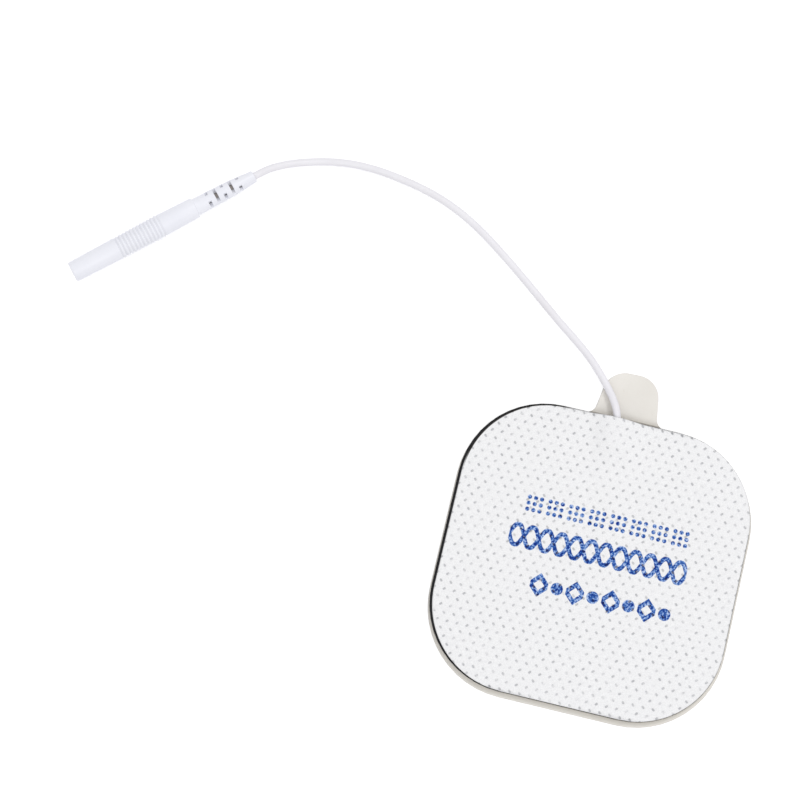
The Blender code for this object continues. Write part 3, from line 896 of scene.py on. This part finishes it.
def make_cover(material):
    """Embossed cover as a grid over the rounded square.

    Rows run along Y, and each row's X spans the square's width there. The top follows
    the ridge, sinks at each dash and swells between them. Each row's Y is a mix of an
    even step and a sine, so that rows crowd at both ends.
    """
    half = PAD_SIDE / 2 - COVER_INSET - COVER_RIM
    corner = PAD_CORNER - COVER_INSET - COVER_RIM
    straight = half - corner
    count = COVER_STEPS + 1
    sweep = pi / 2 * ROW_SWEEP
    v = half * np.sin(np.linspace(-1, 1, count) * sweep) / np.sin(sweep)
    v = (1 - ROW_CROWDING) * np.linspace(-half, half, count) + ROW_CROWDING * v
    rise = np.clip(np.abs(v) - straight, 0, corner)
    width = straight + np.sqrt(corner**2 - rise**2)
    x = np.linspace(-1, 1, count)[None, :] * width[:, None]
    y = np.repeat(v[:, None], count, axis=1)
    dashes = dash_mask(x, y, softness=0.3)
    swell = COVER_SWELL * np.cos(2 * pi * x / DASH_PITCH) * np.cos(pi * y / DASH_ROW)
    waves = WAVE_HEIGHT * np.sin(WAVE_X[0] * x + WAVE_X[1]) * np.sin(WAVE_Y[0] * y + WAVE_Y[1])
    top = COVER_TOP - COVER_SWELL + cover_rise(x, y) + swell + waves - DASH_DEPTH * dashes
    points = [np.stack([x, y, top], axis=-1).reshape(-1, 3)]
    faces = grid_faces(count, count, closed_columns=False)

    # Points of the grid's border, counter-clockwise from its first corner
    last = count - 1
    border = np.concatenate([
        np.arange(last),
        np.arange(last) * count + last,
        last * count + last - np.arange(last),
        (last - np.arange(last)) * count,
    ])
    rim_place = points[0][border].copy()
    flat_rise = cover_rise(rim_place[:, 0], rim_place[:, 1])
    ahead = np.roll(rim_place, -1, axis=0) - np.roll(rim_place, 1, axis=0)
    outward = np.stack([ahead[:, 1], -ahead[:, 0]], axis=1)
    outward /= np.linalg.norm(outward, axis=1)[:, None]
    start = count * count
    rings = [border]
    for out, height in ((0.8 * COVER_RIM, 0.75), (COVER_RIM, 0.4), (0.3 * COVER_RIM, 0.0)):
        ring = rim_place.copy()
        ring[:, :2] += out * outward
        ring[:, 2] = COVER_BOTTOM + flat_rise + height * COVER_THICKNESS
        points.append(ring)
        rings.append(start + np.arange(len(border)))
        start += len(border)
    for upper, lower in zip(rings[:-1], rings[1:]):
        strip = np.stack([upper, lower, np.roll(lower, -1), np.roll(upper, -1)], axis=1)
        faces += strip.tolist()
    below, added = cover_underside(x, y, rings[-1], start)
    points.append(below)
    faces += added
    piece = add_mesh("cover", np.concatenate(points), faces, material, smooth_angle=70)
    # Painted shade on the cut edge: darker towards the film's side, at the rear-left corner and
    # along the rear
    towards_film = ramp((outward @ FILM_SIDE - FILM_SIDE_FROM) / FILM_SIDE_FADE)
    at_corner = ramp((outward @ CORNER_SIDE - CORNER_FROM) / CORNER_FADE)
    at_corner *= ramp((CORNER_START_X - rim_place[:, 0]) / CORNER_RUNOUT_X)
    amount = EDGE_DARK + FILM_SIDE_DARK * towards_film + CORNER_DARK * at_corner
    amount += REAR_DARK * outward[:, 1]
    cut_edge_shade = np.zeros(len(piece.data.vertices))
    cut_edge_shade[border] = TOP_EDGE_SHARE * amount + TOP_EDGE_CORNER * at_corner
    rim_end = count * count + 3 * len(border)
    cut_edge_shade[count * count : rim_end] = np.tile(amount, 3)
    set_field(piece, "cut_edge_shade", cut_edge_shade)
    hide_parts("cover_fabric")


def cover_underside(x, y, rim, start):
    """Coarse underside of the cover, whose outer cells take up every point of the rim.

    Cells span several of the grid's steps, and only the columns near the ridge are kept.
    """
    count = len(x)
    last = count - 1
    first, final = (int(share * last) for share in UNDERSIDE_COLUMNS)
    columns = [0, *range(first, final, UNDERSIDE_STEP), last]
    rows = [*range(0, last, UNDERSIDE_STEP), last]
    inner = [(r, c) for r in rows[1:-1] for c in columns[1:-1]]
    number = {cell: start + i for i, cell in enumerate(inner)}
    number.update({(0, c): rim[c] for c in range(last)})
    number.update({(r, last): rim[last + r] for r in range(last)})
    number.update({(last, last - c): rim[2 * last + c] for c in range(last)})
    number.update({(last - r, 0): rim[3 * last + r] for r in range(last)})
    faces = []
    for r0, r1 in zip(rows[:-1], rows[1:]):
        for c0, c1 in zip(columns[:-1], columns[1:]):
            low = range(c0, c1) if r0 == 0 else [c0]
            right = range(r0, r1) if c1 == last else [r0]
            high = range(c1, c0, -1) if r1 == last else [c1]
            left = range(r1, r0, -1) if c0 == 0 else [r1]
            loop = [(r0, c) for c in low] + [(r, c1) for r in right]
            loop += [(r1, c) for c in high] + [(r, c0) for r in left]
            faces.append([int(number[cell]) for cell in reversed(loop)])
    r, c = np.array(inner).T
    east, north = x[r, c], y[r, c]
    points = np.stack([east, north, COVER_BOTTOM + cover_rise(east, north)], axis=1)
    return points, faces


# Lead


def plug_direction():
    """Unit vector along the plug, from its free end to the lead."""
    heading = radians(PLUG_HEADING)
    return np.array([cos(heading), sin(heading), 0.0])


def plug_point(s):
    """Point of the plug's axis at a distance s from its free end."""
    return np.array([*PLUG_WIRE_END, PLUG_AXIS_Z]) - (PLUG_LENGTH - s) * plug_direction()


def lead_route():
    """Points that the lead passes: under the cover, down over the tab, round to the plug."""
    radius = LEAD_DIAMETER / 2
    on_film = COVER_BOTTOM + radius
    on_tab = LINER_THICKNESS + LAYER_GAP + radius
    low = radius + LAYER_GAP
    drop = on_film - on_tab
    climb = PLUG_AXIS_Z - low
    free = [
        (-1.68, 26.4, on_tab + 0.93 * drop),
        (-2.38, 27.74, on_tab + 0.62 * drop),
        (-3.34, 29.19, on_tab + 0.22 * drop),
        (-4.88, 31.1, on_tab),
        (-7.34, 33.72, low + LAYER_GAP),
        (-11.05, 36.75, low),
        (-14.4, 39.2, low),
        (-18.64, 42.53, low),
        (-22.94, 45.87, low),
        (-27.25, 49.05, low),
        (-31.6, 52.0, low),
        (-35.3, 54.05, low),
        (-39.1, 55.65, low),
        (-43.0, 56.8, low),
        (-47.05, 57.6, low),
        (-51.4, 58.15, low),
        (-55.3, 58.2, low),
        (-59.3, 57.7, low + 0.06 * climb),
        (-63.2, 56.6, low + 0.3 * climb),
        (-66.9, 55.05, low + 0.72 * climb),
        (-69.4, 53.55, low + 0.97 * climb),
    ]
    inward, _ = entry_frame()
    edge = np.array([ENTRY_X, PAD_SIDE / 2])
    depths = (LEAD_UNDER_COVER, LEAD_UNDER_COVER / 2, 0.0)
    under = [(*(edge + depth * inward), on_film) for depth in depths]
    stations = (PLUG_LENGTH, (PLUG_LENGTH + LEAD_END_S) / 2, LEAD_END_S)
    inside_plug = [tuple(plug_point(s)) for s in stations]
    return np.array(under + free + inside_plug)


def smooth_curve(points, spacing, fine=16):
    """Evenly spaced points of the smooth curve through the given points.

    Each stretch is a cubic whose end slopes are the chords across its end points.
    """
    along = np.concatenate([[0.0], np.cumsum(np.linalg.norm(np.diff(points, axis=0), axis=1))])
    slopes = np.gradient(points, along, axis=0)
    share = np.linspace(0, 1, fine, endpoint=False)[None, :, None]
    length = np.diff(along)[:, None, None]
    start = (1 + 2 * share) * (1 - share) ** 2 * points[:-1, None]
    start = start + share * (1 - share) ** 2 * length * slopes[:-1, None]
    end = share**2 * (3 - 2 * share) * points[1:, None]
    end = end + share**2 * (share - 1) * length * slopes[1:, None]
    curve = np.concatenate([(start + end).reshape(-1, 3), points[-1:]])
    run = np.concatenate([[0.0], np.cumsum(np.linalg.norm(np.diff(curve, axis=0), axis=1))])
    places = np.linspace(0, run[-1], round(run[-1] / spacing) + 1)
    return np.stack([np.interp(places, run, curve[:, axis]) for axis in range(3)], axis=1)


def make_lead(material):
    """Insulated lead: a circle carried along the route, level at the sides."""
    path = smooth_curve(lead_route(), LEAD_STEP)
    ahead = np.gradient(path, axis=0)
    ahead /= np.linalg.norm(ahead, axis=1)[:, None]
    side = np.cross(ahead, [0.0, 0.0, 1.0])
    side /= np.linalg.norm(side, axis=1)[:, None]
    up = np.cross(side, ahead)
    angle = np.linspace(0, 2 * pi, LEAD_SIDES, endpoint=False)
    ring = np.cos(angle)[:, None] * side[:, None] + np.sin(angle)[:, None] * up[:, None]
    # The first and last rings are narrower, for rounded cut ends
    radius = np.full(len(path), LEAD_DIAMETER / 2)
    radius[[0, -1]] -= LEAD_CUT_ROUND
    points = (path[:, None] + radius[:, None, None] * ring).reshape(-1, 3)
    faces = [face[::-1] for face in grid_faces(len(path), len(angle))]
    final = (len(path) - 1) * len(angle)
    faces += [list(range(len(angle))), [final + i for i in reversed(range(len(angle)))]]
    piece = add_mesh("lead", points, faces, material, smooth_angle=60)
    # Painted shade on the lead where it runs inside the plug
    s = (points - plug_point(0.0)) @ plug_direction()
    near_plug = points[:, 0] < PLUG_WIRE_END[0] + 1.0
    set_field(piece, "plug_shade", near_plug * ramp((PLUG_LENGTH - HIDDEN_DEPTH - s) / HIDDEN_FADE))
    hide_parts("lead_wire")


# Plug


def turned(name, profile, columns, material):
    """A body turned about the plug's axis from a closed profile of (s, radius) points."""
    forward = plug_direction()
    side = np.array([-forward[1], forward[0], 0.0])
    angle = np.linspace(0, 2 * pi, columns, endpoint=False)
    around = np.cos(angle)[:, None] * side + np.sin(angle)[:, None] * np.array([0.0, 0.0, 1.0])
    points = plug_point(0.0) + profile[:, None, :1] * forward + profile[:, None, 1:] * around
    faces = grid_faces(len(profile), columns, closed_rows=True)
    return add_mesh(name, points.reshape(-1, 3), faces, material)


def cut_boxes(piece, boxes, smooth_angle):
    """Cuts boxes out of a piece; each is (s, side, height) of its middle and its size."""
    forward = plug_direction()
    axes = np.array([forward, [-forward[1], forward[0], 0.0], [0.0, 0.0, 1.0]])
    corners = np.array([(a, b, c) for a in (-0.5, 0.5) for b in (-0.5, 0.5) for c in (-0.5, 0.5)])
    sides = [(0, 1, 3, 2), (4, 6, 7, 5), (0, 4, 5, 1), (2, 3, 7, 6), (0, 2, 6, 4), (1, 5, 7, 3)]
    points, faces = [], []
    for middle, size in boxes:
        faces += [[len(points) * 8 + i for i in face] for face in sides]
        points.append(plug_point(0.0) + (np.array(middle) + corners * np.array(size)) @ axes)
    mesh = bpy.data.meshes.new("cutter")
    mesh.from_pydata((np.concatenate(points) * MM).tolist(), [], faces)
    cutter = bpy.data.objects.new("cutter", mesh)
    bpy.context.scene.collection.objects.link(cutter)
    boolean = piece.modifiers.new("cut", "BOOLEAN")
    boolean.operation = "DIFFERENCE"
    boolean.object = cutter
    bpy.context.view_layer.update()
    graph = bpy.context.evaluated_depsgraph_get()
    result = bpy.data.meshes.new_from_object(piece.evaluated_get(graph))
    piece.modifiers.clear()
    piece.data = result
    result.shade_smooth()
    result.set_sharp_from_angle(angle=radians(smooth_angle))
    bpy.data.objects.remove(cutter)


def off_axis(piece):
    """Each point's distance from the plug's axis and its place along it, in millimetres."""
    places = np.empty(len(piece.data.vertices) * 3)
    piece.data.vertices.foreach_get("co", places)
    offset = places.reshape(-1, 3) / MM - plug_point(0.0)
    along = offset @ plug_direction()
    return np.linalg.norm(offset - along[:, None] * plug_direction(), axis=1), along


def grip_profile():
    """Outside of the grip from its mouth to the lead, with rounded ribs, and its stepped bore.

    Each corner is (distance from the free end, radius, rounding of the corner).
    """
    corners = [(0.0, NOSE_RADIUS, NOSE_ROUND), (NOSE_LENGTH - 0.3, FIRST_RIB_RADIUS - 0.03, 0.1)]
    for rib in range(RIB_COUNT):
        crest = FIRST_RIB_RADIUS + (LAST_RIB_RADIUS - FIRST_RIB_RADIUS) * rib / (RIB_COUNT - 1)
        start = NOSE_LENGTH + rib * RIB_PITCH
        corners += [
            (start + CREST_START, crest, RIB_ROUND),
            (start + CREST_END, crest, RIB_ROUND),
            (start + GROOVE_START, crest - RIB_DEPTH, RIB_ROUND),
            (start + GROOVE_END, crest - RIB_DEPTH, RIB_ROUND),
        ]
    corners += [
        (BARREL_START + 0.05, BARREL_START_RADIUS, RIB_ROUND),
        (BARREL_END, BARREL_END_RADIUS, 0.2),
        (BARREL_END + 0.12, COLLAR_RADIUS, 0.05),
        (COLLAR_END, COLLAR_RADIUS, 0.3),
        (PLUG_LENGTH - RELIEF_TAPER, RELIEF_WAIST_RADIUS, 0.4),
        (PLUG_LENGTH, RELIEF_END_RADIUS, 0.15),
        (PLUG_LENGTH, LEAD_BORE_RADIUS, 0.1),
        (LEAD_END_S - SEAT_GAP, LEAD_BORE_RADIUS, BORE_ROUND),
        (LEAD_END_S - SEAT_GAP, CRIMP_RADIUS + SEAT_GAP, BORE_ROUND),
        (SOCKET_END + SEAT_GAP, CRIMP_RADIUS + SEAT_GAP, BORE_ROUND),
        (SOCKET_END + SEAT_GAP, SOCKET_RADIUS + SEAT_GAP, BORE_ROUND),
        (MOUTH_DEPTH, SOCKET_RADIUS + SEAT_GAP, BORE_ROUND),
        (MOUTH_DEPTH, MOUTH_RADIUS, BORE_ROUND),
        (0.0, MOUTH_RADIUS, 0.12),
    ]
    return rounded_outline(corners, steps=3)


def make_grip(material):
    """Moulded grip whose strain relief has long slots and pairs of corner notches in turn."""
    piece = turned("grip", grip_profile(), GRIP_SIDES, material)
    boxes = []
    deep = COLLAR_RADIUS
    beside = (SLOT_BRIDGE + deep) / 2
    above = (SLOT_WEB + deep) / 2
    for number in range(SLOT_COUNT):
        s = COLLAR_END + FIRST_SLOT + number * SLOT_PITCH
        for level in (-1, 1):
            if number % 2:
                boxes.append(((s, 0, level * beside), (SLOT_WIDTH, 3 * deep, deep)))
            else:
                corners = [(s, side * beside, level * above) for side in (-1, 1)]
                boxes += [(corner, (SLOT_WIDTH, deep, deep)) for corner in corners]
    cut_boxes(piece, boxes, smooth_angle=35)
    # Painted shade in the slots and notches, the grooves between the ribs, and the mouth
    radius, along = off_axis(piece)
    in_relief = (along > COLLAR_END) & (along < PLUG_LENGTH - 0.5)
    nearest = np.round((along - COLLAR_END - FIRST_SLOT) / SLOT_PITCH)
    dark = np.where(nearest % 2 == 1, LONG_SLOT_DARK, NOTCH_DARK)
    in_slots = ramp((SLOT_DARK_RADIUS - radius) / SLOT_DARK_FADE) * in_relief * dark
    share = (along - NOSE_LENGTH) / (BARREL_START - NOSE_LENGTH)
    crest = FIRST_RIB_RADIUS + (LAST_RIB_RADIUS - FIRST_RIB_RADIUS) * share
    in_ribs = (share > 0) & (share < 1) & (radius > SOCKET_RADIUS + 2 * SEAT_GAP)
    in_grooves = GROOVE_DARK * ramp((crest - radius) / RIB_DEPTH) * in_ribs
    in_mouth = ramp((MOUTH_DARK_RADIUS - radius) / MOUTH_DARK_FADE)
    in_mouth *= (along > MOUTH_DARK_START) & (along < COLLAR_END)
    set_field(piece, "hollow_shade", np.maximum(in_slots, in_mouth) + in_grooves)
    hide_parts("plug_grip")
    return piece


def main():
    """Stages the object and puts each of its own pieces in the place of its node."""
    bpy.context.scene.view_settings.view_transform = "Standard"
    place_camera()
    grain, handling = fine_grain_group(), handling_group()
    contact = bpy.data.objects["socket_contact"]
    strands = bpy.data.objects["crimp_strands"]
    pad_strands = bpy.data.objects["pad_strands"]
    plating, bright_plating = tone(176, 172, 162), tone(222, 219, 210)
    plated = metal_material("contact_plated", plating, bright_plating, grain, roughness=0.28)
    dark_copper, bright_copper = tone(176, 108, 76), tone(214, 148, 112)
    copper = metal_material("conductor_copper", dark_copper, bright_copper, grain, roughness=0.35)
    for node, finish in ((contact, plated), (strands, copper), (pad_strands, copper)):
        node.data.materials.clear()
        node.data.materials.append(finish)
    grip = make_grip(grip_material(grain, handling))
    make_lead(lead_material(grain, handling))
    make_liner(liner_material(grain, handling))
    make_gel(gel_material(grain, handling))
    make_film(film_material(grain))
    make_cover(cover_material())
    stage()


main()
